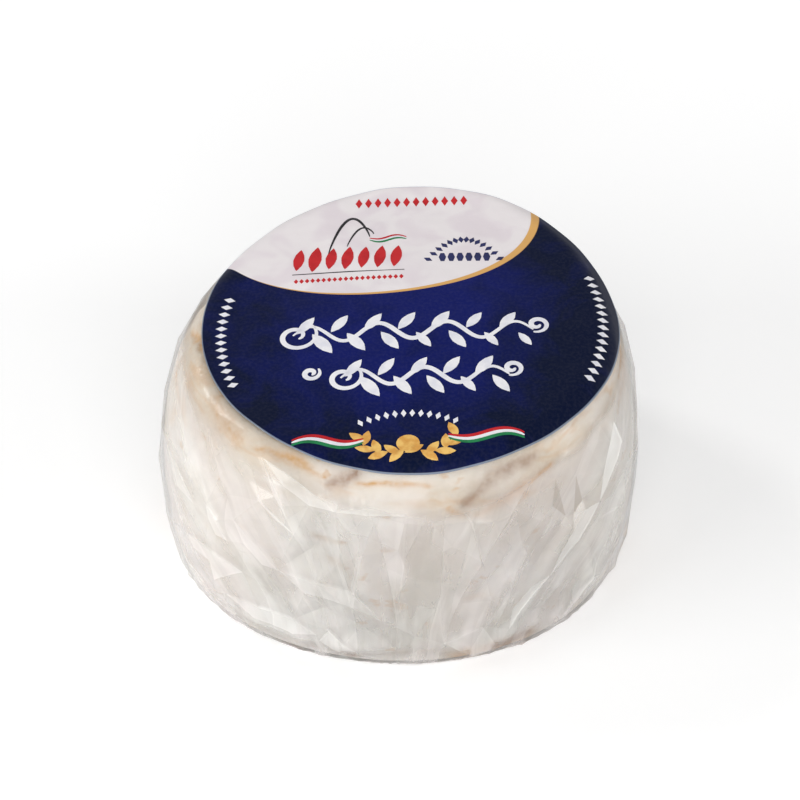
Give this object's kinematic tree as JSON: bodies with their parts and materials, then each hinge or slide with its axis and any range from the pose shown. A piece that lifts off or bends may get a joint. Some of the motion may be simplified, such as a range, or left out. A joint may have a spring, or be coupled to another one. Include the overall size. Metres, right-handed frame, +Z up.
{
  "type": "wrapped soft-ripened cheese wheel",
  "caption": "Small soft-ripened cheese wheel with a white bloomy rind, wrapped tight in clear creased film, with a round printed label stuck on its domed top.",
  "frame": {"origin": "middle of the flat base of the wrapped wheel, on the surface that it stands on", "axes": "+Z up out of the label, -Y towards the front of the label, +X to the right seen from the front"},
  "size_m": [0.0892, 0.0918, 0.0492],
  "materials": {
    "rind": "soft matt bloomy rind, cream white",
    "film": "clear glossy creased wrapping film",
    "label": "semi-gloss printed round label, navy with a pale field"
  },
  "bodies": {
    "root": {"cheese": "rind", "film": "film", "label": "label"}
  },
  "joints": []
}
